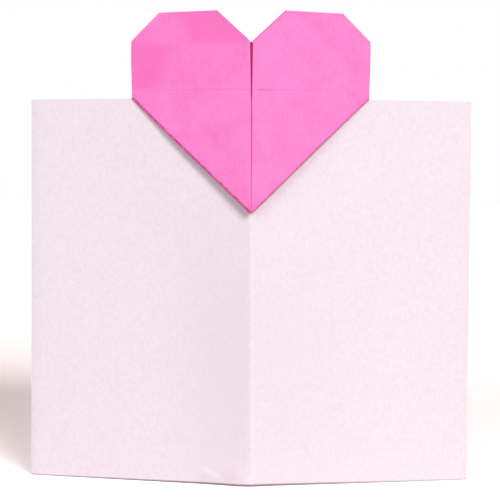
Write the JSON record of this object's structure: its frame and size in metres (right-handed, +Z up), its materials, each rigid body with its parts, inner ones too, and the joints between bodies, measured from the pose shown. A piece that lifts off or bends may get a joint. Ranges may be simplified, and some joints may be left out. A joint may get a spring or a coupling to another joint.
{
  "type": "greeting card",
  "caption": "Blank card of pale pink stock standing in a shallow upright V, with a folded paper heart fixed across the top of its front.",
  "frame": {"origin": "middle of the footprint of the whole card, on the surface that it stands on", "axes": "+Z up along the card's fold, -Y out of the front with the heart, +X to the viewer's right"},
  "size_m": [0.199, 0.027, 0.2103],
  "materials": {
    "card_stock": "felt-marked matt card stock, pale pink right through",
    "folding_paper": "thin uncoated folding paper, hot pink right through"
  },
  "bodies": {
    "root": {"card_sheet": "card_stock", "paper_heart": "folding_paper"}
  },
  "joints": []
}
